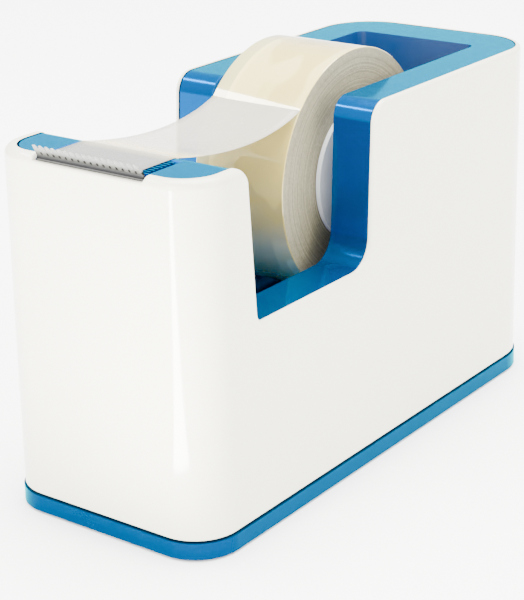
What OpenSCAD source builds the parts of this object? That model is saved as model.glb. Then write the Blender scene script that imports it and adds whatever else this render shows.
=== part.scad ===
// Weighted desk tape dispenser: two-colour housing, ballast, saw-tooth cutter
// and a tape roll that lifts out of its well and spins on an axle.
// Millimetres, +Z up. The cutter end faces -Y, the roll end faces +Y, and
// z = 0 is the plane the rubber feet stand on.

/* [Housing] */
// Overall width, at the base
body_w = 51; // [45:0.5:70]
// Overall depth, at the base
body_d = 126; // [110:1:160]
// Height of the roll end
body_h = 76; // [70:0.5:95]
// Height of the cutter tower
tower_h = 73.5; // [65:0.5:76]
// Plan radius of the two corners at the cutter end
front_corner_r = 9.5; // [6:0.5:14]
// Plan radius of the two corners at the roll end
rear_corner_r = 13; // [6:0.5:16]
// Wall of the outer shell
shell_wall = 1.9; // [1.5:0.1:3]
// How far the base stands out past the shell
base_step = 0.3; // [0:0.1:1]

/* [Notch] */
// Height of the notch floor
notch_z = 43; // [30:0.5:55]
// Tower wall at the notch floor
tower_y_low = -45; // [-50:0.5:-40]
// Tower wall at its top
tower_y_high = -47.1; // [-52:0.1:-42]
// Roll-end wall at the notch floor
house_y_low = -7.4; // [-15:0.1:0]
// Roll-end wall at its top
house_y_high = -5.7; // [-14:0.1:2]
// Round on the top edge of the roll end
house_edge_r = 4.5; // [2:0.5:8]
// Round on the top edge of the tower
tower_edge_r = 3; // [1:0.5:5]
// Fillet where the floor meets the roll end
house_fillet_r = 6; // [2:0.5:8]
// Fillet where the floor meets the tower
tower_fillet_r = 2; // [1:0.5:5]

/* [Insert] */
// Thickness of the coloured sheet
sheet_t = 1.8; // [1.4:0.1:3]
// How far the sheet lies below the rim of the shell
sheet_drop = 0.2; // [0:0.1:1]
// White rim left around the sheet on the roll end
rim_w = 1.1; // [0.8:0.1:2]
// White rim left around the sheet on the tower
tower_rim_w = 2.4; // [1.5:0.1:4]
// Inside width of the roll well
well_w = 30.4; // [26:0.2:40]
// Rear wall of the roll well
well_y_rear = 50.5; // [40:0.5:56]
// Bottom of the roll well
well_z = 27; // [20:0.5:35]
// Wall of the roll well
well_wall = 1.7; // [1.2:0.1:3]
// Strip of notch floor left between the tower and the well
well_ledge = 3; // [2.5:0.1:8]

/* [Tape roll] */
// Width of the tape
tape_w = 22; // [12:0.5:26]
// Outside radius of a full roll
roll_r = 26; // [20:0.5:30]
// Outside radius of the cardboard-type core
core_r = 14.8; // [13:0.1:16]
// Bore radius of the core
core_bore_r = 12.7; // [12:0.05:13.5]
// Axis of the roll, front to back
roll_y = 9.5; // [0:0.5:15]
// Axis of the roll, height
roll_z = 56.3; // [50:0.1:62]
// Sideways play taken up by the roll
roll_x = -0.8; // [-1.5:0.1:1.5]
// Radius of the axle
axle_r = 3; // [2:0.25:5]
// Radial running clearance of the hub on its axle
run_gap = 0.05; // [0.01:0.01:0.1]
// Sag of the free tape between tower and roll
tape_sag = 3.2; // [1:0.1:6]

/* [Cutter] */
// Length of the blade
blade_l = 25.5; // [20:0.5:32]
// Thickness of the blade
blade_t = 0.4; // [0.3:0.05:0.8]
// Number of teeth
teeth = 17; // [10:1:24]
// Height of a tooth
tooth_h = 1.1; // [0.6:0.1:2]
// Height of the tooth tips above the tower
blade_rise = 2; // [1:0.1:3]

/* [Base] */
// Height of the coloured base band
band_h = 3.8; // [2.5:0.1:8]
// Height the feet lift the base off the desk
foot_lift = 0.5; // [0.2:0.1:1.5]
// Thickness of the steel ballast
ballast_t = 10; // [4:0.5:12]

/* [Hidden] */
$fn = 64;
// Small overlap that lets cuts and joins pass through a face
cut = 0.5;
// Flats that make up each round of the side view
round_steps = 16;
// Assembly gap between fixed pieces
gap = 0.1;
// Gap kept between pieces that move against each other
clear = 0.3;
front_y = -body_d / 2;
rear_y = body_d / 2;
shell_z = band_h + 0.3;
sheet_z = body_h - sheet_drop;
tower_sheet_z = tower_h - sheet_drop;
// Bottom of the rebate in the shell that the sheet sits in
rebate = sheet_drop + sheet_t + gap;
shell_in = base_step + shell_wall;
house_rim_in = base_step + rim_w;
tower_rim_in = base_step + tower_rim_w;
well_hw = well_w / 2;
well_y_front = tower_y_low + well_ledge;
// Screw posts between the well and the shell
post_x = body_w / 2 - shell_in - 2.8;
post_r = 3;
post_y = [front_y + 13, 44];
post_foot_z = 8;
post_top_z = 36;
post_screw_r = 1.25;
// Screw columns under the well
column_y = [-28, 36];
column_r = 3.6;
column_top_z = 15.5;
// Feet
foot_r = 5.3;
foot_x = 14.5;
foot_y = [front_y + 20, 36];
foot_t = 1.5;
base_floor_t = 2.4;
base_floor_z = foot_lift + base_floor_t;
ballast_z = base_floor_z + 0.8;
// Axle saddles on the well walls
saddle_t = 1.4;
saddle_in = well_hw - saddle_t;
axle_end = well_hw - clear;
// Roll stack along X
roll_x0 = roll_x - tape_w / 2;
roll_x1 = roll_x + tape_w / 2;
hub_r = core_bore_r - run_gap;
hub_flange_r = core_r - 0.3;
flange_t = 1;
hub_x0 = roll_x0 - flange_t - gap;
hub_x1 = -hub_x0;
hub_wall = 1.5;
ring_t = 0.3;
// Ribbed landing on the tower
landing_w = 25;
landing_y0 = front_y + 3.6;
landing_y1 = tower_y_high - sheet_drop - tower_edge_r - 0.3;
landing_t = 0.9;
rib_pitch = 1.1;
rib_w = 0.5;
rib_h = 0.35;
// Blade
blade_slot_hw = blade_l / 2 + 0.3;
blade_y = front_y + 1.5;
blade_leg_z = tower_sheet_z - sheet_t - gap - blade_t;
blade_bend_z = tower_h - 0.1;
blade_tip_z = tower_h + blade_rise;
blade_lean = 1.1;
blade_leg_end = front_y + 8.5;
blade_lip_z = tower_h - 1.1;
blade_pin_x = 8;
blade_pin_y = front_y + 6.4;
blade_pin_r = 1;
// Free tape
strip_t = 0.15;
strip_y0 = front_y + 2.7;
strip_y1 = tower_y_high - 2.7;
strip_z = tower_sheet_z + clear;
// Where the free tape reaches the roll: the height of the landing on its rim
strip_reach = roll_r + clear;
strip_end_y = roll_y - sqrt(pow(strip_reach, 2) - pow(strip_z - roll_z, 2));
strip_half = (strip_end_y - strip_y1) / 2;
strip_mid = (strip_end_y + strip_y1) / 2;
strip_arc_r = (pow(strip_half, 2) + pow(tape_sag, 2)) / (2 * tape_sag);

// Point on the line from a to b, the length s away from a
function along(a, b, s) = a + (b - a) * s / norm(b - a);

// Half of the angle at b between a and c
function half_angle(a, b, c) = acos((a - b) * (c - b) / (norm(a - b) * norm(c - b))) / 2;

// Distance from the corner b to where a round of radius r touches its edges
function reach(a, b, c, r) = r / tan(half_angle(a, b, c));

// Centre of the round of radius r in the corner b
function round_at(a, b, c, r) =
    b + ((a - b) / norm(a - b) + (c - b) / norm(c - b))
    / norm((a - b) / norm(a - b) + (c - b) / norm(c - b))
    * r / sin(half_angle(a, b, c));

// The vector v turned by the angle w
function turned(v, w) = [v.x * cos(w) - v.y * sin(w), v.x * sin(w) + v.y * cos(w)];

// Points of the round of radius r that replaces the corner b
function rounded(a, b, c, r) =
    let (
        centre = round_at(a, b, c, r),
        start = along(b, a, reach(a, b, c, r)) - centre,
        swing = 180 - 2 * half_angle(a, b, c),
        way = sign(cross(b - a, c - b)))
    [for (i = [0:round_steps]) centre + turned(start, way * swing * i / round_steps)];

// Side view of the housing with its whole surface lowered by g
module side_profile(g) {
    t1 = [front_y, tower_h - g];
    t2 = [tower_y_high - g, tower_h - g];
    t3 = [tower_y_low - g, notch_z - g];
    t4 = [house_y_low + g, notch_z - g];
    t5 = [house_y_high + g, body_h - g];
    t6 = [rear_y, body_h - g];
    polygon(concat(
        [[front_y, 0], t1],
        rounded(t1, t2, t3, max(tower_edge_r - g, 0.5)),
        rounded(t2, t3, t4, tower_fillet_r + g),
        rounded(t3, t4, t5, house_fillet_r + g),
        rounded(t4, t5, t6, max(house_edge_r - g, 0.5)),
        [t6, [rear_y, 0]]));
}

// Runs a side view across the width
module across(w) {
    rotate([90, 0, 90])
        translate([0, 0, -w / 2])
            linear_extrude(w)
                children();
}

// Plan outline, inset from the base outline
module plan(inset) {
    hw = body_w / 2 - inset;
    y0 = front_y + inset;
    y1 = rear_y - inset;
    rf = front_corner_r - inset;
    rr = rear_corner_r - inset;
    translate([-hw, y0 + rf])
        square([2 * hw, y1 - y0 - rf - rr]);
    translate([-hw + rf, y0])
        square([2 * (hw - rf), rf + cut]);
    translate([-hw + rr, y1 - rr - cut])
        square([2 * (hw - rr), rr + cut]);
    for (side = [-1, 1]) {
        translate([side * (hw - rf), y0 + rf])
            circle(rf);
        translate([side * (hw - rr), y1 - rr])
            circle(rr);
    }
}

// Plan outline as a block from z0 to z1
module block(inset, z0, z1) {
    translate([0, 0, z0])
        linear_extrude(z1 - z0)
            plan(inset);
}

// Axis-aligned box between two corners
module box(low, high) {
    translate(low)
        cube(high - low);
}

// Cylinder along X from x0 to x1 on the roll axis
module roll_disc(x0, x1, r) {
    translate([x0, roll_y, roll_z])
        rotate([0, 90, 0])
            cylinder(h = x1 - x0, r = r);
}

// White outer shell with the notch, the rebate for the insert and the screw posts
module outer_shell() {
    color("WhiteSmoke")
        difference() {
            union() {
                difference() {
                    intersection() {
                        across(body_w)
                            side_profile(0);
                        block(base_step, shell_z, body_h + cut);
                    }
                    block(shell_in, 0, body_h + cut);
                    intersection() {
                        across(body_w)
                            difference() {
                                side_profile(-cut);
                                side_profile(rebate);
                            }
                        block(house_rim_in, notch_z - 3, body_h + cut);
                        box([-body_w, tower_y_high - 0.4, 0], [body_w, rear_y, body_h + cut]);
                    }
                }
                intersection() {
                    across(body_w)
                        side_profile(0);
                    difference() {
                        block(base_step + cut, tower_h - 4, tower_h + cut);
                        block(tower_rim_in, 0, body_h);
                    }
                    box([-body_w, front_y, 0], [body_w, tower_y_high - 0.4, body_h]);
                }
                for (side = [-1, 1])
                    for (y = post_y)
                        translate([side * post_x, y, post_foot_z])
                            cylinder(h = post_top_z - post_foot_z, r = post_r);
            }
            for (side = [-1, 1])
                for (y = post_y)
                    translate([side * post_x, y, 0])
                        cylinder(h = post_foot_z + 14, r = post_screw_r + 0.05);
            box([-blade_slot_hw, front_y - 1, blade_lip_z],
                [blade_slot_hw, front_y + 3, body_h]);
            box([-blade_slot_hw, blade_y - gap, blade_leg_z - gap],
                [blade_slot_hw, front_y + 3, body_h]);
        }
}

// Open-topped cradle for one end of the axle
module saddle(side) {
    x0 = side > 0 ? saddle_in : -well_hw - cut;
    slot = 2 * (axle_r + run_gap);
    difference() {
        box([x0, roll_y - 7, roll_z - 13], [x0 + saddle_t + cut, roll_y + 7, roll_z + 5]);
        roll_disc(x0 - 1, x0 + saddle_t + cut + 1, axle_r + run_gap);
        box([x0 - 1, roll_y - slot / 2, roll_z],
            [x0 + saddle_t + cut + 1, roll_y + slot / 2, roll_z + 6]);
        translate([x0 - 1 + (saddle_t + cut + 2) / 2, 0, 0])
            across(saddle_t + cut + 2)
                polygon([[roll_y - slot / 2, roll_z + 2.5], [roll_y - slot / 2 - 2, roll_z + 5.5],
                    [roll_y + slot / 2 + 2, roll_z + 5.5], [roll_y + slot / 2, roll_z + 2.5]]);
    }
}

// Inside outline of the roll well
module well_plan() {
    r = 2;
    translate([-well_hw, well_y_front])
        square([2 * well_hw, well_y_rear - r - well_y_front]);
    translate([-well_hw + r, well_y_rear - r - cut])
        square([2 * (well_hw - r), r + cut]);
    for (side = [-1, 1])
        translate([side * (well_hw - r), well_y_rear - r])
            circle(r);
}

// Coloured insert: rim sheet, notch lining, tower top and the roll well in one moulding
module inner_insert() {
    color("DeepSkyBlue")
        union() {
            difference() {
                union() {
                    intersection() {
                        across(body_w)
                            difference() {
                                side_profile(sheet_drop);
                                side_profile(sheet_drop + sheet_t);
                            }
                        block(house_rim_in + gap, notch_z - 3, body_h);
                        box([-body_w, tower_y_high - 0.3, 0], [body_w, rear_y, body_h]);
                    }
                    intersection() {
                        across(body_w)
                            difference() {
                                side_profile(sheet_drop);
                                side_profile(sheet_drop + sheet_t);
                            }
                        block(tower_rim_in + gap, notch_z - 3, body_h);
                        box([-body_w, front_y, 0], [body_w, tower_y_low + 2, body_h]);
                    }
                    intersection() {
                        across(body_w)
                            side_profile(sheet_drop + 0.2);
                        box([-well_hw - well_wall, well_y_front - well_wall, well_z - well_wall],
                            [well_hw + well_wall, well_y_rear + well_wall, body_h]);
                    }
                    for (y = column_y)
                        translate([0, y, column_top_z])
                            cylinder(h = well_z - well_wall - column_top_z + cut, r = column_r);
                }
                translate([0, 0, well_z])
                    linear_extrude(body_h)
                        well_plan();
                for (y = column_y)
                    translate([0, y, 0])
                        cylinder(h = well_z - well_wall - 0.5, r = post_screw_r + 0.05);
                box([-landing_w / 2 - gap, landing_y0 - gap, tower_sheet_z - landing_t - gap],
                    [landing_w / 2 + gap, landing_y1 + gap, body_h]);
                box([-blade_slot_hw, front_y, notch_z], [blade_slot_hw, blade_y + 1.1, body_h]);
                for (side = [-1, 1])
                    translate([side * blade_pin_x, blade_pin_y, tower_sheet_z - sheet_t - cut])
                        cylinder(h = 1.1 + cut - gap, r = blade_pin_r + 0.02);
            }
            saddle(1);
            saddle(-1);
        }
}

// Ribbed plate on the tower that keeps the tape end from sticking flat
module tape_landing() {
    plate_z = tower_sheet_z - landing_t;
    rib_n = floor((landing_y1 - landing_y0 - 0.6) / rib_pitch);
    color("MediumBlue")
        union() {
            box([-landing_w / 2, landing_y0, plate_z],
                [landing_w / 2, landing_y1, tower_sheet_z - rib_h]);
            for (i = [0:rib_n - 1])
                box([-landing_w / 2 + 0.6, landing_y0 + 0.6 + i * rib_pitch, tower_sheet_z - rib_h - cut],
                    [landing_w / 2 - 0.6, landing_y0 + 0.6 + i * rib_pitch + rib_w, tower_sheet_z]);
        }
}

// Section of the bent blade: level leg, upright and forward-leaning toothed band
module blade_section() {
    lean_y = blade_y - blade_lean;
    polygon([[blade_y, blade_leg_z], [blade_leg_end, blade_leg_z],
        [blade_leg_end, blade_leg_z + blade_t], [blade_y + blade_t, blade_leg_z + blade_t],
        [blade_y + blade_t, blade_bend_z], [lean_y + blade_t, blade_tip_z],
        [lean_y, blade_tip_z], [blade_y, blade_bend_z]]);
}

// Stainless cutter blade with a row of saw teeth
module cutter_blade() {
    pitch = blade_l / teeth;
    root_z = blade_tip_z - tooth_h;
    color("Silver")
        difference() {
            across(blade_l)
                blade_section();
            translate([0, front_y + 4, 0])
                rotate([90, 0, 0])
                    linear_extrude(6)
                        for (i = [0:teeth - 1])
                            polygon([[-blade_l / 2 + i * pitch + 0.25, blade_tip_z + cut],
                                [-blade_l / 2 + i * pitch + 0.25, blade_tip_z],
                                [-blade_l / 2 + (i + 1) * pitch, root_z],
                                [-blade_l / 2 + (i + 1) * pitch, blade_tip_z + cut]]);
            for (i = [1:teeth - 1])
                translate([-blade_l / 2 + i * pitch, front_y + 4, root_z - 0.35])
                    rotate([90, 0, 0])
                        cylinder(h = 6, r = 0.16);
            for (side = [-1, 1])
                translate([side * blade_pin_x, blade_pin_y, blade_leg_z - cut])
                    cylinder(h = blade_t + 2 * cut, r = blade_pin_r + 0.05);
        }
}

// Two small screws that hold the blade under the tower top
module blade_screws() {
    color("DimGray")
        for (side = [-1, 1])
            translate([side * blade_pin_x, blade_pin_y, 0]) {
                translate([0, 0, blade_leg_z - 0.9])
                    cylinder(h = 0.9, r = 1.9);
                translate([0, 0, blade_leg_z - cut])
                    cylinder(h = blade_t + 0.9 + cut, r = blade_pin_r);
            }
}

// Coloured base tray with the visible band, the locating wall and the screw bosses
module base_tray() {
    color("DodgerBlue")
        difference() {
            union() {
                block(0, foot_lift, base_floor_z);
                difference() {
                    block(0, foot_lift, band_h);
                    block(shell_in - 0.3, base_floor_z, body_h);
                }
                difference() {
                    block(shell_in + gap, foot_lift + 1, post_foot_z - 0.4);
                    block(shell_in + gap + 1.5, base_floor_z, body_h);
                    for (side = [-1, 1])
                        for (y = post_y)
                            translate([side * post_x, y, base_floor_z])
                                cylinder(h = 20, r = post_r + 0.4);
                }
                for (side = [-1, 1])
                    for (y = post_y)
                        translate([side * post_x, y, foot_lift + 1])
                            cylinder(h = post_foot_z - foot_lift - 1, r = post_r - 0.3);
                for (y = column_y)
                    translate([0, y, foot_lift + 1])
                        cylinder(h = column_top_z - foot_lift - 1, r = column_r);
            }
            for (side = [-1, 1]) {
                for (y = post_y)
                    translate([side * post_x, y, 0]) {
                        cylinder(h = post_foot_z + 1, r = 1.5);
                        cylinder(h = 2, r = 2.4);
                    }
                for (y = foot_y)
                    translate([side * foot_x, y, 0])
                        cylinder(h = foot_t, r = foot_r + gap);
            }
            for (y = column_y)
                translate([0, y, 0]) {
                    cylinder(h = column_top_z + 1, r = 1.5);
                    cylinder(h = 10, r = 2.6);
                }
        }
}

// Self-tapping screw with its head resting at seat and a shank up from there
module screw(seat, tip, head_r) {
    translate([0, 0, seat - 1.2])
        difference() {
            cylinder(h = 1.2, r = head_r);
            box([-head_r, -0.25, -cut], [head_r, 0.25, 0.5]);
            box([-0.25, -head_r, -cut], [0.25, head_r, 0.5]);
        }
    translate([0, 0, seat - 0.2])
        cylinder(h = tip - seat + 0.2, r = post_screw_r);
}

// Four screws that hold the base tray to the shell
module base_screws() {
    color("Gray")
        for (side = [-1, 1])
            for (y = post_y)
                translate([side * post_x, y, 0])
                    screw(2, post_foot_z + 12, 2.2);
}

// Two long screws that hold the insert down to the base tray
module insert_screws() {
    color("Gray")
        for (y = column_y)
            translate([0, y, 0])
                screw(10, well_z - well_wall - 1.2, 2.4);
}

// Steel block that gives the dispenser its weight
module ballast_block() {
    half_w = post_x - post_r - 0.6;
    color("SlateGray")
        difference() {
            box([-half_w, front_y + 14, ballast_z], [half_w, rear_y - 13, ballast_z + ballast_t]);
            for (y = column_y)
                translate([0, y, 0])
                    cylinder(h = body_h, r = column_r + 0.4);
        }
}

// Thin foam sheet under the ballast
module ballast_pad() {
    half_w = post_x - post_r - 0.6;
    color("DarkSlateGray")
        difference() {
            box([-half_w, front_y + 14, base_floor_z], [half_w, rear_y - 13, ballast_z]);
            for (y = column_y)
                translate([0, y, 0])
                    cylinder(h = body_h, r = column_r + 0.4);
        }
}

// Four rubber feet
module foot_pads() {
    color("DimGray")
        for (side = [-1, 1])
            for (y = foot_y)
                translate([side * foot_x, y, 0])
                    cylinder(h = foot_t, r = foot_r);
}

// Axle that rests in the two saddles
module axle_rod() {
    color("LightGray")
        roll_disc(-axle_end, axle_end, axle_r);
}

// Spring rings that keep the hub on the axle
module axle_rings() {
    inner = -hub_x0 + clear;
    color("Gray")
        for (x = [-inner - ring_t, inner])
            difference() {
                roll_disc(x, x + ring_t, axle_r + 1.4);
                roll_disc(x - 1, x + ring_t + 1, axle_r);
            }
}

// Round windows in the hub ends
module hub_windows(x0, x1) {
    for (turn = [0:120:240])
        translate([x0, roll_y, roll_z])
            rotate([turn, 0, 0])
                translate([0, 0, 7.6])
                    rotate([0, 90, 0])
                        cylinder(h = x1 - x0, r = 2.6);
}

// Hub drum with its left flange
module hub_drum() {
    color("Gainsboro")
        difference() {
            union() {
                roll_disc(roll_x0 - gap, roll_x1, hub_r);
                roll_disc(hub_x0, roll_x0 - gap, hub_flange_r);
            }
            difference() {
                roll_disc(hub_x0 + 2.2, roll_x1 + 1, hub_r - hub_wall);
                roll_disc(hub_x0 + 1, roll_x0 + tape_w / 2, axle_r + 1.6);
            }
            roll_disc(hub_x0 - 1, roll_x1 + 1, axle_r + run_gap);
            hub_windows(hub_x0 - 1, hub_x0 + 3);
        }
}

// Push-in hub cap with the right flange
module hub_cap() {
    plug_r = hub_r - hub_wall - gap;
    color("White")
        difference() {
            union() {
                roll_disc(roll_x1 + gap, roll_x1 + gap + flange_t, hub_flange_r);
                difference() {
                    roll_disc(roll_x1 - 5, roll_x1 + gap + cut, plug_r);
                    roll_disc(roll_x1 - 6, roll_x1 + gap, plug_r - 1.2);
                }
                roll_disc(roll_x1 - 6, hub_x1, axle_r + 1.6);
            }
            roll_disc(roll_x1 - 7, hub_x1 + 1, axle_r + run_gap);
            hub_windows(roll_x1, roll_x1 + 3);
        }
}

// Plastic core the tape is wound on
module tape_core() {
    color("Beige")
        difference() {
            roll_disc(roll_x0, roll_x1, core_r);
            roll_disc(roll_x0 - 1, roll_x1 + 1, core_bore_r);
        }
}

// Wound tape
module tape_roll() {
    color("Wheat")
        difference() {
            roll_disc(roll_x0, roll_x1, roll_r);
            roll_disc(roll_x0 - 1, roll_x1 + 1, core_r);
        }
}

// Free tape: flat on the landing, then sagging across the notch to the roll
module tape_strip() {
    arc_z = strip_z - tape_sag + strip_arc_r;
    color("Cornsilk")
        translate([roll_x, 0, 0])
            across(tape_w)
                union() {
                    translate([strip_y0, strip_z])
                        square([strip_y1 - strip_y0 + 0.05, strip_t]);
                    intersection() {
                        difference() {
                            translate([strip_mid, arc_z])
                                circle(strip_arc_r, $fn = 180);
                            translate([strip_mid, arc_z])
                                circle(strip_arc_r - strip_t, $fn = 180);
                        }
                        translate([strip_y1, strip_z - 2 * tape_sag])
                            square([2 * strip_half, 2 * tape_sag + strip_t]);
                    }
                }
}

outer_shell();
inner_insert();
tape_landing();
cutter_blade();
blade_screws();
base_tray();
base_screws();
insert_screws();
ballast_block();
ballast_pad();
foot_pads();
axle_rod();
axle_rings();
hub_drum();
hub_cap();
tape_core();
tape_roll();
tape_strip();
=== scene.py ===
"""Desk tape dispenser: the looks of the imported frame.

Sizes are in millimetres and become metres when a mesh is made. Y runs from front to rear, and Z is up.
"""

import math

import bmesh
import bpy
from mathutils import Matrix, Vector


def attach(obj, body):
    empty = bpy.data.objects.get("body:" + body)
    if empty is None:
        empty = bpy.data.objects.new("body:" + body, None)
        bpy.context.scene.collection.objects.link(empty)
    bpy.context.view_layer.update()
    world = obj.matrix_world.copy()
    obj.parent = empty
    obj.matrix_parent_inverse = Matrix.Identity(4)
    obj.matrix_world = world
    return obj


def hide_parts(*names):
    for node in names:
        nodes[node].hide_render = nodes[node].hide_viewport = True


MM = 0.001

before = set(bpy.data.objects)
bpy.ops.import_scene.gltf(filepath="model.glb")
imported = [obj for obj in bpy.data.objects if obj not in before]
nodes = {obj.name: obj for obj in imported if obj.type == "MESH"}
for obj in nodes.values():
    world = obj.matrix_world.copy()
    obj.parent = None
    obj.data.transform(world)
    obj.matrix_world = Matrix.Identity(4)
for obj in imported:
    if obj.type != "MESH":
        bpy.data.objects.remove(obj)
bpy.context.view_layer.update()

# ---------------------------------------------------------------- sizes of the design

BODY_HALF_W, BODY_HALF_D = 25.5, 63.0
BODY_H, TOWER_H, NOTCH_Z = 76.0, 73.5, 43.0
FRONT_R, REAR_R = 9.5, 13.0
SHELL_STEP, SHELL_WALL = 0.3, 1.9
SHELL_Z = 4.1
TOWER_Y_LOW, TOWER_Y_HIGH = -45.0, -47.1
HOUSE_Y_LOW, HOUSE_Y_HIGH = -7.4, -5.7
TOWER_EDGE_R, TOWER_FILLET_R, HOUSE_FILLET_R, HOUSE_EDGE_R = 3.0, 2.0, 6.0, 4.5
HOUSE_RIM, TOWER_RIM = 1.1, 2.4
SHEET_DROP, SHEET_GAP, TOWER_SHEET_GAP = 0.2, 0.22, 0.4
TOWER_IN = SHELL_STEP + TOWER_RIM + TOWER_SHEET_GAP
HOUSE_IN = SHELL_STEP + HOUSE_RIM + SHEET_GAP
TOWER_SIDE_Y, TOP_Z = -30.0, NOTCH_Z + 10
WELL_HALF_W, WELL_FRONT, WELL_REAR, WELL_Z, WELL_R = 15.2, -42.0, 50.5, 27.0, 2.0
RECESS_HALF_W, RECESS_FRONT, RECESS_REAR, RECESS_DEPTH = 12.6, -59.5, -50.5, 1.0
BLADE_HALF_SLOT, BLADE_LIP_DROP, BLADE_SLOT_Y = 13.05, 1.1, -61.6
ROLL_Y, ROLL_Z, ROLL_R, CORE_R = 9.5, 56.3, 26.0, 14.8
ROLL_X0, ROLL_X1 = -11.8, 10.2
# Tooth pitch, and the height of the painted dark shade spots round the blade's pin holes.
TOOTH_PITCH, PIT_SHADE_Z = 1.5, 73.85
FILM_T, FILM_START_Y, FILM_END_Z, FILM_SAG = 0.06, -60.4, 73.3, 2.9
FILM_LEAVE_Y = TOWER_Y_HIGH - 2.6


# ---------------------------------------------------------------- mesh helpers

def new_object(name, bm, mats, smooth_angle=38, turn_out=True):
    """Object from a bmesh in millimetres, smooth but for its edges sharper than smooth_angle."""
    if turn_out:
        bmesh.ops.recalc_face_normals(bm, faces=bm.faces)
    bmesh.ops.scale(bm, vec=(MM, MM, MM), verts=bm.verts)
    mesh = bpy.data.meshes.new(name)
    bm.to_mesh(mesh)
    bm.free()
    for poly in mesh.polygons:
        poly.use_smooth = True
    mesh.set_sharp_from_angle(angle=math.radians(smooth_angle))
    for mat in mats:
        mesh.materials.append(mat)
    obj = bpy.data.objects.new(name, mesh)
    bpy.context.scene.collection.objects.link(obj)
    return obj


def bevel(obj, width, segments=3, angle=50):
    """Rounds the sharp edges and keeps the flats flat."""
    mod = obj.modifiers.new("edges", "BEVEL")
    mod.width = width * MM
    mod.segments = segments
    mod.limit_method = "ANGLE"
    mod.angle_limit = math.radians(angle)
    mod.harden_normals = False
    weigh(obj)


def weigh(obj):
    """Normals weighted by face area, so that flats stay flat beside rounds."""
    mod = obj.modifiers.new("normals", "WEIGHTED_NORMAL")
    mod.keep_sharp = True


def finish_piece(obj, body, slot, *replaced):
    """Ties a piece to its body and hides the CAD nodes it stands for; slot is not used."""
    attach(obj, body)
    if replaced:
        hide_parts(*replaced)


def rounded(a, b, c, radius, steps):
    """Points of the round that replaces corner b of the polyline a, b, c, each with its outward direction."""
    a, b, c = Vector(a), Vector(b), Vector(c)
    to_a, to_c = (a - b).normalized(), (c - b).normalized()
    half = to_a.angle(to_c) / 2
    centre = b + (to_a + to_c).normalized() * radius / math.sin(half)
    start = b + to_a * radius / math.tan(half) - centre
    swing = math.pi - 2 * half
    way = 1 if (b - a).cross(c - b) > 0 else -1
    return [centre + Matrix.Rotation(way * swing * i / steps, 2) @ start for i in range(steps + 1)]


def side_path(drop):
    """The housing's top line in side view, lowered by drop: (y, z, up) from the tower's front to the rear."""
    t1 = (-BODY_HALF_D, TOWER_H - drop)
    t2 = (TOWER_Y_HIGH - drop, TOWER_H - drop)
    t3 = (TOWER_Y_LOW - drop, NOTCH_Z - drop)
    t4 = (HOUSE_Y_LOW + drop, NOTCH_Z - drop)
    t5 = (HOUSE_Y_HIGH + drop, BODY_H - drop)
    t6 = (BODY_HALF_D, BODY_H - drop)
    points = (rounded(t1, t2, t3, TOWER_EDGE_R - drop, 8) + rounded(t2, t3, t4, TOWER_FILLET_R + drop, 8)
              + rounded(t3, t4, t5, HOUSE_FILLET_R + drop, 14) + rounded(t4, t5, t6, HOUSE_EDGE_R - drop, 12))
    whole = [Vector(t1)] + points + [Vector(t6)]
    path = []
    for before, here, after in zip(whole, whole[1:], whole[2:]):
        along = (here - before).normalized() + (after - here).normalized()
        along.normalize()
        path.append((here, Vector((-along.y, along.x))))
    return path


# ---------------------------------------------------------------- materials

def material(name, color, rough=0.4, metallic=0.0, coat=0.0, coat_rough=0.05, specular=0.5):
    """A Principled material and its node tree, ready for detail nodes."""
    mat = bpy.data.materials.new(name)
    mat.use_nodes = True
    tree = mat.node_tree
    shader = tree.nodes["Principled BSDF"]
    shader.inputs["Base Color"].default_value = (*color, 1.0)
    shader.inputs["Roughness"].default_value = rough
    shader.inputs["Metallic"].default_value = metallic
    shader.inputs["Coat Weight"].default_value = coat
    shader.inputs["Coat Roughness"].default_value = coat_rough
    shader.inputs["Specular IOR Level"].default_value = specular
    return mat, tree, shader


def noise(tree, scale, detail=4.0, stretch=(1, 1, 1), rough=0.5):
    """Noise in object space, in cells per metre, stretched along the given axes."""
    coord = tree.nodes.new("ShaderNodeTexCoord")
    mapping = tree.nodes.new("ShaderNodeMapping")
    mapping.inputs["Scale"].default_value = stretch
    tex = tree.nodes.new("ShaderNodeTexNoise")
    tex.inputs["Scale"].default_value = scale
    tex.inputs["Detail"].default_value = detail
    tex.inputs["Roughness"].default_value = rough
    tree.links.new(coord.outputs["Object"], mapping.inputs["Vector"])
    tree.links.new(mapping.outputs["Vector"], tex.inputs["Vector"])
    return tex.outputs["Fac"]


def math_node(tree, operation, first, second=None):
    """One Math node; each input is a socket or a number."""
    node = tree.nodes.new("ShaderNodeMath")
    node.operation = operation
    for socket, value in zip(node.inputs, (first, second)):
        if value is None:
            continue
        if isinstance(value, (int, float)):
            socket.default_value = value
        else:
            tree.links.new(value, socket)
    return node.outputs[0]


def ramp(tree, value, low, high, start=0.3, end=0.7):
    """value mapped from start..end to low..high."""
    node = tree.nodes.new("ShaderNodeMapRange")
    node.inputs["From Min"].default_value = start
    node.inputs["From Max"].default_value = end
    node.inputs["To Min"].default_value = low
    node.inputs["To Max"].default_value = high
    tree.links.new(value, node.inputs["Value"])
    return node.outputs["Result"]


def color_ramp(tree, value, stops):
    """value through a colour ramp of (place, colour) stops."""
    node = tree.nodes.new("ShaderNodeValToRGB")
    ends = node.color_ramp.elements
    while len(ends) < len(stops):
        ends.new(0.5)
    for element, (place, color) in zip(ends, stops):
        element.position = place
        element.color = (*color, 1.0)
    tree.links.new(value, node.inputs["Fac"])
    return node.outputs["Color"]


def position(tree):
    """X, Y and Z of the shaded point in object space, in metres."""
    coord = tree.nodes.new("ShaderNodeTexCoord")
    split = tree.nodes.new("ShaderNodeSeparateXYZ")
    tree.links.new(coord.outputs["Object"], split.inputs["Vector"])
    return split.outputs


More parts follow.
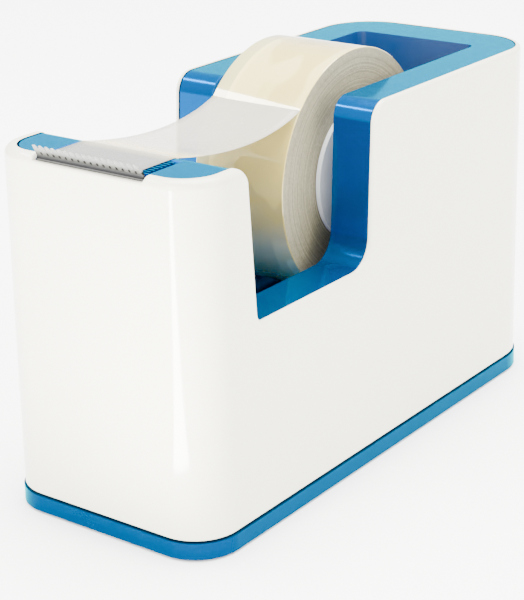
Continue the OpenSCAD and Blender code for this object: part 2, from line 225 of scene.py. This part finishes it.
def multiply_colors(tree, first, second):
    """Product of two colours."""
    node = tree.nodes.new("ShaderNodeMix")
    node.data_type, node.blend_type = "RGBA", "MULTIPLY"
    node.inputs["Factor"].default_value = 1.0
    tree.links.new(first, node.inputs["A"])
    tree.links.new(second, node.inputs["B"])
    return node.outputs["Result"]


def bump(tree, shader, height, strength, distance):
    """Bump from height on the shader's normal."""
    node = tree.nodes.new("ShaderNodeBump")
    node.inputs["Strength"].default_value = strength
    node.inputs["Distance"].default_value = distance
    tree.links.new(height, node.inputs["Height"])
    tree.links.new(node.outputs["Normal"], shader.inputs["Normal"])


def gloss_plastic(name, color, darker, rough):
    """Moulded gloss plastic: faint colour drift, handling haze and a very fine ripple."""
    mat, tree, shader = material(name, color)
    shade = color_ramp(tree, noise(tree, 60, 3), [(0.35, darker), (0.65, color)])
    tree.links.new(shade, shader.inputs["Base Color"])
    tree.links.new(ramp(tree, noise(tree, 240, 5, rough=0.65), *rough), shader.inputs["Roughness"])
    bump(tree, shader, noise(tree, 900, 2), 0.04, 0.0001)
    return mat


BLUE_TONE, PEARL_METAL = (0.0, 0.052, 0.18), 0.72


def pearl_plastic(name, color, rough):
    """Blue plastic with pearl pigment: deep blue face on, cyan at a low angle, with fine flake sparkle."""
    mat, tree, shader = material(name, color, metallic=PEARL_METAL, specular=0.0)
    shader.inputs["Specular Tint"].default_value = (0.0, 0.92, 0.95, 1.0)
    dark = tuple(c * 0.92 for c in color)
    flakes = noise(tree, 3500, 2)
    drift = math_node(tree, "ADD", math_node(tree, "MULTIPLY", noise(tree, 70, 3), 0.6),
                      math_node(tree, "MULTIPLY", flakes, 0.4))
    tree.links.new(color_ramp(tree, drift, [(0.4, dark), (0.6, color)]), shader.inputs["Base Color"])
    tree.links.new(ramp(tree, noise(tree, 260, 5, rough=0.65), *rough), shader.inputs["Roughness"])
    bump(tree, shader, noise(tree, 1100, 2), 0.05, 0.00008)
    return mat


def satin_plastic(name, color, darker, rough=(0.35, 0.5), grain=2500):
    """Moulded satin plastic with a fine spark texture."""
    mat, tree, shader = material(name, color)
    shade = color_ramp(tree, noise(tree, 150, 4), [(0.3, darker), (0.7, color)])
    tree.links.new(shade, shader.inputs["Base Color"])
    tree.links.new(ramp(tree, noise(tree, 400, 4), *rough), shader.inputs["Roughness"])
    bump(tree, shader, noise(tree, grain, 2), 0.25, 0.00004)
    return mat


def metal(name, color, rough=(0.2, 0.4), stretch=(1, 30, 30), scale=120):
    """Metal with grain along one axis."""
    mat, tree, shader = material(name, color, metallic=1.0)
    grain = noise(tree, scale, 4, stretch)
    tree.links.new(ramp(tree, grain, *rough), shader.inputs["Roughness"])
    dark = tuple(c * 0.75 for c in color)
    tree.links.new(color_ramp(tree, grain, [(0.3, dark), (0.7, color)]), shader.inputs["Base Color"])
    bump(tree, shader, grain, 0.15, 0.00005)
    return mat


def well_plastic(name):
    """Satin inside of the roll well; its colour carries painted light and shade, lighter under the notch than
    in its deep rear end.
    """
    mat, tree, shader = material(name, (0.0, 0.05, 0.2), specular=0.3)
    at = position(tree)
    # Painted light and shade: the colour runs from light under the open notch to dark at the well's deep rear
    # end, with a little random drift.
    place = ramp(tree, at["Y"], 0.0, 0.9, -20 * MM, 25 * MM)
    drift = math_node(tree, "ADD", place, math_node(tree, "MULTIPLY", noise(tree, 120, 4), 0.1))
    tree.links.new(color_ramp(tree, drift, [(0.0, (0.0, 0.15, 0.48)), (1.0, (0.0, 0.018, 0.085))]),
                   shader.inputs["Base Color"])
    tree.links.new(ramp(tree, noise(tree, 400, 4), 0.36, 0.5), shader.inputs["Roughness"])
    bump(tree, shader, noise(tree, 1500, 2), 0.12, 0.00004)
    return mat


def blade_steel(name):
    """Steel with light and shade painted into its colour: a bright toothed band, painted dark shade round the
    pits under the gullets, greyer bands.
    """
    mat, tree, shader = material(name, (0.5, 0.5, 0.5), metallic=1.0)
    at = position(tree)
    column = math_node(tree, "FRACT", math_node(tree, "MULTIPLY", at["X"], 1.0 / (TOOTH_PITCH * MM)))
    off_x = math_node(tree, "MULTIPLY", math_node(tree, "SUBTRACT", column, 0.5), TOOTH_PITCH)
    off_z = math_node(tree, "MULTIPLY", math_node(tree, "SUBTRACT", at["Z"], PIT_SHADE_Z * MM), 1.0 / MM)
    away = math_node(tree, "SQRT", math_node(tree, "ADD", math_node(tree, "MULTIPLY", off_x, off_x),
                                             math_node(tree, "MULTIPLY", off_z, off_z)))
    grain = noise(tree, 200, 4, (1, 20, 20))
    # Painted light and shade by height: near black low down, a light stripe, dark again, then greyer up to
    # the bright toothed band.
    bands = color_ramp(tree, ramp(tree, at["Z"], 0.0, 1.0, 0.0710, 0.0755),
                       [(0.0, (0.03, 0.03, 0.033)), (0.31, (0.02, 0.02, 0.022)), (0.33, (0.26, 0.26, 0.26)),
                        (0.37, (0.16, 0.16, 0.16)), (0.39, (0.012, 0.012, 0.013)), (0.48, (0.03, 0.03, 0.03)),
                        (0.53, (0.07, 0.07, 0.07)), (0.57, (0.16, 0.16, 0.155)), (1.0, (0.36, 0.36, 0.35))])
    # Painted shade: dark spots round and just below the pin holes under the gullets.
    painted_pit_shade = ramp(tree, away, 0.06, 1.0, 0.22, 0.36)
    painted_pit_shade_and_grain = math_node(tree, "MULTIPLY", painted_pit_shade, ramp(tree, grain, 0.85, 1.0))
    tree.links.new(multiply_colors(tree, bands, painted_pit_shade_and_grain), shader.inputs["Base Color"])
    tree.links.new(ramp(tree, grain, 0.25, 0.4), shader.inputs["Roughness"])
    bump(tree, shader, grain, 0.2, 0.00005)
    return mat


def roll_radius(tree):
    """Distance from the roll's axis, in metres."""
    at = position(tree)
    dy = math_node(tree, "SUBTRACT", at["Y"], ROLL_Y * MM)
    dz = math_node(tree, "SUBTRACT", at["Z"], ROLL_Z * MM)
    squares = math_node(tree, "ADD", math_node(tree, "MULTIPLY", dy, dy), math_node(tree, "MULTIPLY", dz, dz))
    return math_node(tree, "SQRT", squares)


def wound_edge(name):
    """Edge of the wound tape: fine rings, a few darker turns and a dusty haze."""
    mat, tree, shader = material(name, (0.6, 0.55, 0.42))
    rings = tree.nodes.new("ShaderNodeTexNoise")
    rings.noise_dimensions = "1D"
    rings.inputs["Scale"].default_value = 1.0
    rings.inputs["Detail"].default_value = 5.0
    rings.inputs["Roughness"].default_value = 0.85
    wander = math_node(tree, "MULTIPLY", noise(tree, 90, 3), 1.2)
    tree.links.new(math_node(tree, "ADD", math_node(tree, "MULTIPLY", roll_radius(tree), 2300.0), wander),
                   rings.inputs["W"])
    haze = noise(tree, 1600, 5, rough=0.85)
    both = math_node(tree, "ADD", math_node(tree, "MULTIPLY", rings.outputs["Fac"], 0.6),
                     math_node(tree, "MULTIPLY", haze, 0.4))
    shade = color_ramp(tree, both, [(0.38, (0.11, 0.095, 0.05)), (0.5, (0.20, 0.18, 0.11)),
                                    (0.62, (0.31, 0.285, 0.185))])
    tree.links.new(shade, shader.inputs["Base Color"])
    tree.links.new(ramp(tree, haze, 0.32, 0.5), shader.inputs["Roughness"])
    bump(tree, shader, rings.outputs["Fac"], 0.5, 0.0001)
    return mat


def wound_face(name):
    """Outside of the roll: glossy clear film over cream, with faint trapped-air patches and scuffs, and
    painted shade and a painted highlight across its width.
    """
    mat, tree, shader = material(name, (0.7, 0.6, 0.35), specular=0.2, coat=1.0, coat_rough=0.03)
    shader.inputs["Coat IOR"].default_value = 1.7
    patches = noise(tree, 55, 2, (1, 0.5, 0.5))
    shade = color_ramp(tree, patches, [(0.44, (0.43, 0.33, 0.08)), (0.46, (0.53, 0.41, 0.105)),
                                       (0.53, (0.55, 0.43, 0.11)), (0.55, (0.64, 0.54, 0.19))])
    at = position(tree)
    # Painted light and shade across the width: a darker bluish shade at the left end, a white highlight line
    # just inside it, the rest a little darker.
    across = ramp(tree, at["X"], 0.0, 1.0, ROLL_X0 * MM, ROLL_X1 * MM)
    turn = color_ramp(tree, across, [(0.0, (0.62, 0.66, 0.75)), (0.145, (0.66, 0.70, 0.78)),
                                     (0.15, (1.0, 1.0, 1.0)), (0.19, (1.0, 1.0, 1.0)),
                                     (0.2, (0.90, 0.90, 0.88)), (1.0, (0.90, 0.90, 0.88))])
    tree.links.new(multiply_colors(tree, shade, turn), shader.inputs["Base Color"])
    tree.links.new(ramp(tree, noise(tree, 160, 5, rough=0.7), 0.08, 0.26), shader.inputs["Roughness"])
    bump(tree, shader, noise(tree, 35, 2, (0.4, 1.6, 1.6)), 0.18, 0.0004)
    return mat


def clear_film(name):
    """Free tape: milky where it lies on the landing, clearer where it hangs free; light and shade are painted
    into its colour along its length.
    """
    mat, tree, shader = material(name, (0.6, 0.6, 0.58), rough=0.12)
    at = position(tree)
    fade = (TOWER_Y_HIGH - 5) * MM, (TOWER_Y_HIGH + 8) * MM
    depth = ramp(tree, at["Y"], 0.82, 0.56, *fade)
    # Painted light and shade along the tape: dark where it lies on the landing, cream where it leaves the
    # tower, greyer across the rest of the span to the roll.
    painted_light_and_shade_tint = color_ramp(tree, ramp(tree, at["Y"], 0.0, 1.0, *fade),
                      [(0.0, (0.16, 0.165, 0.155)), (0.5, (0.66, 0.55, 0.27)), (1.0, (0.44, 0.41, 0.33))])
    tree.links.new(painted_light_and_shade_tint, shader.inputs["Base Color"])
    cloud = math_node(tree, "MULTIPLY", noise(tree, 90, 3, (1, 0.3, 1)), 0.12)
    tree.links.new(math_node(tree, "ADD", depth, cloud), shader.inputs["Alpha"])
    tree.links.new(ramp(tree, noise(tree, 300, 4), 0.16, 0.3), shader.inputs["Roughness"])
    bump(tree, shader, noise(tree, 60, 2, (1, 0.4, 1)), 0.12, 0.0003)
    return mat


WHITE = gloss_plastic("shell_white", (0.63, 0.615, 0.505), (0.615, 0.60, 0.49), rough=(0.08, 0.16))
BLUE = pearl_plastic("insert_blue", BLUE_TONE, rough=(0.08, 0.15))
BASE_BLUE = pearl_plastic("base_blue", (0.0, 0.03, 0.095), rough=(0.09, 0.17))
WELL_BLUE = well_plastic("well_blue")
# Also painted shade on the shell rim's inner drop beside the insert.
DEEP_BLUE = pearl_plastic("landing_blue_and_gap_shade", (0.0, 0.03, 0.14), rough=(0.15, 0.25))
STEEL = blade_steel("blade_steel")
ZINC = metal("screw_zinc", (0.60, 0.60, 0.61), rough=(0.3, 0.45), stretch=(1, 1, 1), scale=900)
ROD = metal("axle_steel", (0.68, 0.68, 0.68), rough=(0.16, 0.28), stretch=(1, 20, 20), scale=200)
IRON = metal("ballast_steel", (0.22, 0.23, 0.25), rough=(0.45, 0.65), stretch=(1, 1, 1), scale=300)
FOAM = satin_plastic("foam_black", (0.05, 0.05, 0.055), (0.035, 0.035, 0.04), rough=(0.8, 0.95), grain=4000)
RUBBER = satin_plastic("foot_rubber", (0.11, 0.11, 0.115), (0.085, 0.085, 0.09),
                       rough=(0.65, 0.85), grain=3500)
HUB = satin_plastic("hub_grey", (0.52, 0.53, 0.525), (0.47, 0.48, 0.475), rough=(0.3, 0.42))
CORE = satin_plastic("core_brown", (0.20, 0.17, 0.11), (0.15, 0.125, 0.08), rough=(0.45, 0.6))
EDGE = wound_edge("tape_edge")
FACE = wound_face("tape_face")
FILM = clear_film("tape_film")

CAD_LOOKS = {
    "outer_shell": WHITE, "inner_insert": BLUE, "tape_landing": DEEP_BLUE, "cutter_blade": STEEL,
    "blade_screws": ZINC, "base_tray": BASE_BLUE, "base_screws": ZINC, "insert_screws": ZINC,
    "ballast_block": IRON, "ballast_pad": FOAM, "foot_pads": RUBBER, "axle_rod": ROD, "axle_rings": ZINC,
    "hub_drum": HUB, "hub_cap": HUB, "tape_core": CORE, "tape_roll": EDGE, "tape_strip": FILM,
}
for cad_name, look in CAD_LOOKS.items():
    nodes[cad_name].data.materials.clear()
    nodes[cad_name].data.materials.append(look)


# ---------------------------------------------------------------- outer shell

def rim_profile(station):
    """Section of the rim at one station: wall, round-over, flat and the short drop beside the insert."""
    place, inward, up, rim, round_r = station
    arc = [math.radians(90 * i / 6) for i in range(7)]
    section = [place + inward * round_r * (1 - math.cos(a)) - up * round_r * (1 - math.sin(a)) for a in arc]
    soft = 0.12
    return section + [place + inward * (rim - soft), place + inward * rim - up * soft,
                      place + inward * rim - up * 2.0, place + inward * SHELL_WALL - up * 2.3]


def shell_stations():
    """Front, side and rear stations of the rim's outer edge round the +X half.

    Each is (place, inward, up, rim, round).
    """
    half_w, half_d = BODY_HALF_W - SHELL_STEP, BODY_HALF_D - SHELL_STEP
    top = Vector((0, 0, 1))
    tower, house = (TOWER_RIM, 1.7), (HOUSE_RIM, 0.95)
    lip = (BLADE_SLOT_Y + half_d, 0.5)
    front = []
    for x, drop, (rim, round_r) in ((0, BLADE_LIP_DROP, lip), (BLADE_HALF_SLOT, BLADE_LIP_DROP, lip),
                                    (BLADE_HALF_SLOT + 0.35, 0.0, tower), (14.6, 0.0, tower)):
        front.append((Vector((x, -half_d, TOWER_H - drop)), Vector((0, 1, 0)), top, rim, round_r))
    corner_r = FRONT_R - SHELL_STEP
    for i in range(13):
        a = math.radians(90 * i / 12)
        out = Vector((math.sin(a), -math.cos(a), 0))
        centre = Vector((half_w - corner_r, -half_d + corner_r, TOWER_H))
        front.append((centre + out * corner_r, -out, top, *tower))
    side = []
    for point, normal in side_path(0):
        narrowing = min(max((TOWER_H - point.y) / TOWER_EDGE_R, 0), 1) if point.x < TOWER_SIDE_Y else 1
        rim = TOWER_RIM + (HOUSE_RIM - TOWER_RIM) * narrowing
        round_r = tower[1] + (house[1] - tower[1]) * narrowing
        side.append((Vector((half_w, point.x, point.y)), Vector((-1, 0, 0)), Vector((0, normal.x, normal.y)),
                     rim, round_r))
    rear = []
    corner_r = REAR_R - SHELL_STEP
    for i in range(17):
        a = math.radians(90 * i / 16)
        out = Vector((math.cos(a), math.sin(a), 0))
        centre = Vector((half_w - corner_r, half_d - corner_r, BODY_H))
        rear.append((centre + out * corner_r, -out, top, *house))
    rear.append((Vector((0, half_d, BODY_H)), Vector((0, -1, 0)), top, *house))
    return front, side, rear


def make_shell():
    """White housing: walls, rounded rim that follows the notch, and a rounded lower edge."""
    front, side, rear = shell_stations()
    bm = bmesh.new()
    rims = [[bm.verts.new(p) for p in rim_profile(s)] for s in front + side + rear]
    for a, b in zip(rims, rims[1:]):
        for k in range(len(a) - 1):
            face = bm.faces.new((a[k], b[k], b[k + 1], a[k + 1]))
            # The rim's inner drop beside the insert takes the dark blue: painted shade in the gap between
            # shell and insert.
            face.material_index = int(k == len(a) - 3)

    def foot(station):
        place, inward = station[0], station[1]
        flat = Vector((place.x, place.y, 0))
        section = ((0, SHELL_Z + 0.35), (0.1, SHELL_Z + 0.1), (0.35, SHELL_Z), (SHELL_WALL, SHELL_Z))
        return [bm.verts.new(flat + inward * dx + Vector((0, 0, z))) for dx, z in section]

    front_feet, rear_feet = [foot(s) for s in front], [foot(s) for s in rear]
    feet = front_feet + rear_feet
    for a, b in zip(feet, feet[1:]):
        for k in range(len(a) - 1):
            bm.faces.new((a[k], a[k + 1], b[k + 1], b[k]))
    for group, tops in ((front_feet, rims[:len(front)]), (rear_feet, rims[-len(rear):])):
        for i in range(len(group) - 1):
            bm.faces.new((group[i][0], group[i + 1][0], tops[i + 1][0], tops[i][0]))
            bm.faces.new((group[i][-1], tops[i][-1], tops[i + 1][-1], group[i + 1][-1]))
    for end in (0, -1):
        flank = [rims[i][end] for i in range(len(front) - 1, len(rims) - len(rear) + 1)]
        bm.faces.new([front_feet[-1][end], rear_feet[0][end]] + flank[::-1])
    bmesh.ops.mirror(bm, geom=bm.verts[:] + bm.edges[:] + bm.faces[:], axis="X", merge_dist=0.0001)
    obj = new_object("shell_body", bm, [WHITE, DEEP_BLUE])
    weigh(obj)
    finish_piece(obj, "housing", "shell", "outer_shell")


# ---------------------------------------------------------------- insert

def sheet_half_width(y):
    """Half width of the insert's sheet at y, on the tower's or the house's top."""
    if y < -BODY_HALF_D + FRONT_R:
        r = FRONT_R - TOWER_IN
        off = -BODY_HALF_D + FRONT_R - y
        return BODY_HALF_W - FRONT_R + math.sqrt(max(r * r - off * off, 0))
    if y > BODY_HALF_D - REAR_R:
        r = REAR_R - HOUSE_IN
        off = y - (BODY_HALF_D - REAR_R)
        return BODY_HALF_W - REAR_R + math.sqrt(max(r * r - off * off, 0))
    return BODY_HALF_W - (TOWER_IN if y < TOWER_Y_HIGH - 2.5 else HOUSE_IN)


def sheet_rows():
    """Rows across the sheet from front to rear: (y, z, up, half width)."""
    tower_z, house_z = TOWER_H - SHEET_DROP, BODY_H - SHEET_DROP
    level = Vector((0, 1))
    rows = []
    r = FRONT_R - TOWER_IN
    fronts = [-BODY_HALF_D + FRONT_R - r * math.cos(math.radians(90 * i / 12)) for i in range(13)]
    fronts += [RECESS_FRONT, RECESS_REAR]
    for y in sorted(set(round(v, 4) for v in fronts)):
        rows.append((y, tower_z, level, sheet_half_width(y)))
    for point, up in side_path(SHEET_DROP):
        inset = HOUSE_IN
        if point.x < TOWER_SIDE_Y and point.y > TOP_Z:
            narrowing = min(max((tower_z - point.y) / TOWER_EDGE_R, 0), 1)
            inset = TOWER_IN + (HOUSE_IN - TOWER_IN) * narrowing
        rows.append((point.x, point.y, up, BODY_HALF_W - inset))
        if rows[-2][0] < WELL_FRONT <= point.x and point.y < NOTCH_Z + 1:
            rows.insert(-1, (WELL_FRONT, NOTCH_Z - SHEET_DROP, level, BODY_HALF_W - HOUSE_IN))
    r = REAR_R - HOUSE_IN
    rears = [BODY_HALF_D - REAR_R + r * math.sin(math.radians(90 * i / 16)) for i in range(17)]
    rears += [WELL_REAR - WELL_R + WELL_R * math.sin(math.radians(90 * i / 6)) for i in range(7)]
    for y in sorted(set(round(v, 4) for v in rears)):
        rows.append((y, house_z, level, sheet_half_width(y)))
    return rows


def opening_half_width(y, on_tower):
    """Half width of the hole in the sheet at y, or None where the sheet is whole."""
    if on_tower:
        return RECESS_HALF_W if RECESS_FRONT - 0.01 <= y <= RECESS_REAR + 0.01 else None
    if y < WELL_FRONT - 0.01 or y > WELL_REAR + 0.01:
        return None
    off = y - (WELL_REAR - WELL_R)
    if off <= 0:
        return WELL_HALF_W
    return WELL_HALF_W - WELL_R + math.sqrt(max(WELL_R ** 2 - off ** 2, 0))


def make_insert():
    """Blue insert: the sheet that lines top and notch, the recess for the landing and the roll well."""
    bm = bmesh.new()
    rows, last_tower = sheet_rows(), TOWER_Y_HIGH - 2
    built = []
    for y, z, up, half in rows:
        on_tower = y < last_tower and z > TOP_Z
        hole = opening_half_width(y, on_tower) if on_tower or y > TOWER_Y_LOW + 0.5 else None
        right = Vector((half, y, z))
        skirt = right - Vector((0, up.x, up.y)) * 1.5
        row = {"out": [], "skirt": [], "hole": None, "y": y, "z": z, "floor": None}
        for side in (-1, 1):
            row["out"].append(bm.verts.new((side * right.x, right.y, right.z)))
            row["skirt"].append(bm.verts.new((side * skirt.x, skirt.y, skirt.z)))
        if hole is not None:
            row["hole"] = [bm.verts.new((side * hole, y, z)) for side in (-1, 1)]
            depth = z - RECESS_DEPTH if on_tower else WELL_Z
            row["floor"] = [bm.verts.new((side * hole, y, depth)) for side in (-1, 1)]
            row["tower"] = on_tower
        built.append(row)
    for a, b in zip(built, built[1:]):
        for side in (0, 1):
            bm.faces.new((a["out"][side], b["out"][side], b["skirt"][side], a["skirt"][side]))
        if a["hole"] and b["hole"]:
            for side in (0, 1):
                bm.faces.new((a["out"][side], a["hole"][side], b["hole"][side], b["out"][side]))
        else:
            bm.faces.new([a["out"][0], *(a["hole"] or ()), a["out"][1],
                          b["out"][1], *reversed(b["hole"] or ()), b["out"][0]])
    for row in (built[0], built[-1]):
        bm.faces.new((row["out"][0], row["out"][1], row["skirt"][1], row["skirt"][0]))
    inside = []
    for tower in (True, False):
        holed = [row for row in built if row["hole"] and row["tower"] == tower]
        straight = [row for row in holed if abs(row["hole"][1].co.x - holed[0]["hole"][1].co.x) < 0.001]
        curved = holed[len(straight) - 1:]
        for side in (0, 1):
            wall = [row["hole"][side] for row in straight]
            inside.append(bm.faces.new(wall + [straight[-1]["floor"][side], straight[0]["floor"][side]]))
            for a, b in zip(curved, curved[1:]):
                corners = a["hole"][side], b["hole"][side], b["floor"][side], a["floor"][side]
                inside.append(bm.faces.new(corners))
        for row in (holed[0], holed[-1]):
            inside.append(bm.faces.new((row["hole"][0], row["hole"][1], row["floor"][1], row["floor"][0])))
        ends = [straight[0]] + curved
        floor = [row["floor"][0] for row in ends] + [row["floor"][1] for row in reversed(ends)]
        inside.append(bm.faces.new(floor))
        spare = [v for row in straight[1:-1] for v in row["floor"]]
        bmesh.ops.delete(bm, geom=[v for v in spare if not v.link_faces], context="VERTS")
    # The recess and well faces take the well material, whose colour carries painted light and shade.
    for face in inside:
        face.material_index = 1
    bmesh.ops.recalc_face_normals(bm, faces=bm.faces)
    top_face = max(bm.faces, key=lambda face: face.calc_center_median().z)
    if top_face.normal.z < 0:
        bmesh.ops.reverse_faces(bm, faces=bm.faces)
    obj = new_object("insert_body", bm, [BLUE, WELL_BLUE], smooth_angle=45, turn_out=False)
    bevel(obj, 0.42, 4, 60)
    thick = obj.modifiers.new("wall", "SOLIDIFY")
    thick.thickness = 1.3 * MM
    thick.offset = -1.0
    weigh(obj)
    finish_piece(obj, "housing", "insert", "inner_insert")


def make_saddles():
    """The two open cradles on the well walls that carry the axle."""
    bm = bmesh.new()
    gap_half, lead = 3.05, 2.0
    outline = [(-7, -13), (-7, 5), (-gap_half - lead, 5), (-gap_half, 2.5)]
    outline += [(-gap_half * math.cos(math.radians(a)), -gap_half * math.sin(math.radians(a)))
                for a in range(0, 181, 15)]
    outline += [(gap_half, 2.5), (gap_half + lead, 5), (7, 5), (7, -13)]
    for side in (-1, 1):
        inner, outer = side * (WELL_HALF_W - 1.4), side * (WELL_HALF_W + 0.2)
        faces = [[bm.verts.new((x, ROLL_Y + y, ROLL_Z + z)) for y, z in outline] for x in (inner, outer)]
        bm.faces.new(faces[0])
        bm.faces.new(faces[1][::-1])
        count = len(outline)
        for i in range(count):
            j = (i + 1) % count
            bm.faces.new((faces[0][i], faces[0][j], faces[1][j], faces[1][i]))
    obj = new_object("insert_saddles", bm, [WELL_BLUE])
    bevel(obj, 0.2, 2, 50)
    finish_piece(obj, "housing", "insert")


# ---------------------------------------------------------------- roll and free tape

def lathe(bm, profile, steps):
    """Turns a closed (x, radius) profile about the roll's axis; returns the faces in profile order."""
    rings = []
    for x, r in profile:
        rings.append([bm.verts.new((x, ROLL_Y + r * math.cos(2 * math.pi * i / steps),
                                    ROLL_Z + r * math.sin(2 * math.pi * i / steps))) for i in range(steps)])
    bands = []
    for k, ring in enumerate(rings):
        after = rings[(k + 1) % len(rings)]
        bands.append([bm.faces.new((ring[i], ring[(i + 1) % steps], after[(i + 1) % steps], after[i]))
                      for i in range(steps)])
    return bands


def make_roll():
    """Wound tape: crisp ring with slightly dished edges."""
    bm = bmesh.new()
    soft, dish, turns = 0.16, 0.06, 6
    edge = []
    for i in range(turns + 1):
        r = CORE_R + 0.02 + (ROLL_R - soft - CORE_R) * i / turns
        edge.append((dish * math.sin(math.pi * i / turns), r))
    right = [(ROLL_X1 - d, r) for d, r in edge]
    left = [(ROLL_X0 + d, r) for d, r in reversed(edge)]
    profile = right + [(ROLL_X1 - soft, ROLL_R), (ROLL_X0 + soft, ROLL_R)] + left
    bands = lathe(bm, profile, steps=144)
    for band in bands[len(right) - 1:len(right) + 2]:
        for face in band:
            face.material_index = 1
    obj = new_object("tape_wound", bm, [EDGE, FACE], smooth_angle=30)
    finish_piece(obj, "roll", "tape", "tape_roll")


def strip_path():
    """Centre line of the free tape in side view, from the blade to the roll: (y, z) points."""
    flat_z = TOWER_H - SHEET_DROP + 0.06
    reach = ROLL_R + 0.05
    end_y = ROLL_Y - math.sqrt(reach ** 2 - (FILM_END_Z - ROLL_Z) ** 2)
    points = [(FILM_START_Y + (FILM_LEAVE_Y - FILM_START_Y) * i / 6, flat_z) for i in range(7)]
    for i in range(1, 29):
        t = i / 28
        y = FILM_LEAVE_Y + (end_y - FILM_LEAVE_Y) * t
        z = flat_z + (FILM_END_Z - flat_z) * t - 4 * FILM_SAG * (t * (1 - t)) * (0.82 + 0.36 * t)
        points.append((y, z))
    angle = math.atan2(FILM_END_Z - ROLL_Z, end_y - ROLL_Y)
    for i in range(1, 3):
        a = angle - math.radians(0.3 * i)
        points.append((ROLL_Y + reach * math.cos(a), ROLL_Z + reach * math.sin(a)))
    return points


def make_strip():
    """Free tape: flat on the landing, a soft sag across the notch, slightly cupped, then onto the roll."""
    bm = bmesh.new()
    path = strip_path()
    across, count, cup = 12, len(path), 0.35
    grid = []
    for i, (y, z) in enumerate(path):
        row = []
        t = i / (count - 1)
        free = math.sin(math.pi * min(max((t - 0.2) / 0.66, 0), 1))
        for k in range(across + 1):
            u = k / across * 2 - 1
            x = (ROLL_X0 + ROLL_X1) / 2 + u * (ROLL_X1 - ROLL_X0) / 2
            rise = cup * free * (u * u - 0.4)
            row.append(bm.verts.new((x, y, z + rise)))
        grid.append(row)
    for a, b in zip(grid, grid[1:]):
        for k in range(across):
            bm.faces.new((a[k], a[k + 1], b[k + 1], b[k]))
    obj = new_object("tape_free", bm, [FILM], smooth_angle=60)
    thick = obj.modifiers.new("film", "SOLIDIFY")
    thick.thickness = FILM_T * MM
    thick.offset = 1.0
    finish_piece(obj, "axle", "film", "tape_strip")


make_shell()
make_insert()
make_saddles()
make_roll()
make_strip()
for cad_name, width in (("cutter_blade", 0.05), ("base_tray", 0.35), ("hub_cap", 0.2), ("hub_drum", 0.2),
                        ("tape_core", 0.15), ("axle_rod", 0.3), ("foot_pads", 0.3), ("tape_landing", 0.1)):
    bevel(nodes[cad_name], width, 2, 60)


# ---------------------------------------------------------------- stage, lights and camera

def make_floor():
    """Plain pale floor that curves up far behind."""
    bm = bmesh.new()
    wide, turn_y, turn_r, top = 6.0, 1.5, 1.0, 6.0
    rows = [(-wide, 0.0), (turn_y, 0.0)]
    for i in range(1, 13):
        a = math.radians(90 * i / 12)
        rows.append((turn_y + turn_r * math.sin(a), turn_r - turn_r * math.cos(a)))
    rows.append((turn_y + turn_r, top))
    loops = [[bm.verts.new((x / MM, y / MM, z / MM)) for x in (-wide, wide)] for y, z in rows]
    for a, b in zip(loops, loops[1:]):
        bm.faces.new((a[0], a[1], b[1], b[0]))
    mat = material("floor_white", (0.95, 0.95, 0.945), rough=0.6)[0]
    obj = new_object("floor", bm, [mat])


def area_light(name, place, target, size, power):
    """Soft rectangular light that looks at the target."""
    data = bpy.data.lights.new(name, "AREA")
    data.shape = "RECTANGLE"
    data.size, data.size_y = size
    data.energy = power
    obj = bpy.data.objects.new(name, data)
    obj.location = place
    obj.rotation_euler = (Vector(target) - Vector(place)).to_track_quat("-Z", "Y").to_euler()
    bpy.context.scene.collection.objects.link(obj)


def make_camera():
    """Camera at the viewing angle: azimuth, elevation and roll of its line of sight, in degrees."""
    azimuth, elevation, roll = (math.radians(a) for a in CAMERA_ANGLES)
    data = bpy.data.cameras.new("camera")
    data.sensor_fit = "VERTICAL"
    data.sensor_height = 36.0
    data.lens = CAMERA_LENS
    data.shift_y = CAMERA_SHIFT
    data.clip_start = 0.01
    obj = bpy.data.objects.new("camera", data)
    look = Vector((-math.sin(azimuth) * math.cos(elevation), math.cos(azimuth) * math.cos(elevation),
                   -math.sin(elevation)))
    turn = look.to_track_quat("-Z", "Y").to_matrix().to_4x4() @ Matrix.Rotation(roll, 4, "Z")
    obj.matrix_world = Matrix.Translation(Vector(CAMERA_PLACE) * MM) @ turn
    bpy.context.scene.collection.objects.link(obj)
    bpy.context.scene.camera = obj


CAMERA_ANGLES = (36.55, 17.76, -1.14)
CAMERA_LENS = 107.12
CAMERA_SHIFT = -0.15
CAMERA_PLACE = (208.0, -290.2, 162.8)
CENTRE = (0, 0, 0.04)
ABOVE_CARD = (0.022, -0.215, 1.0)
LIGHTS = (
    # name, place, target, size in metres, watts
    ("key", (0.05, -1.15, 0.6), CENTRE, (0.6, 0.8), 30),
    ("side", (1.1, 0.1, 0.6), CENTRE, (0.6, 0.9), 22),
    ("card", (0.022, -0.215, 0.002), ABOVE_CARD, (0.028, 0.24), 2.2),
    ("strip", (-0.45, -0.25, 0.65), CENTRE, (0.6, 0.05), 5),
    ("top", (0.0, 0.25, 1.3), CENTRE, (1.4, 1.2), 108),
)
SKY = 2.8
make_floor()
make_camera()
for light in LIGHTS:
    area_light(*light)
world = bpy.data.worlds.new("world")
world.use_nodes = True
world.node_tree.nodes["Background"].inputs["Color"].default_value = (1, 1, 1, 1)
world.node_tree.nodes["Background"].inputs["Strength"].default_value = SKY
bpy.context.scene.world = world
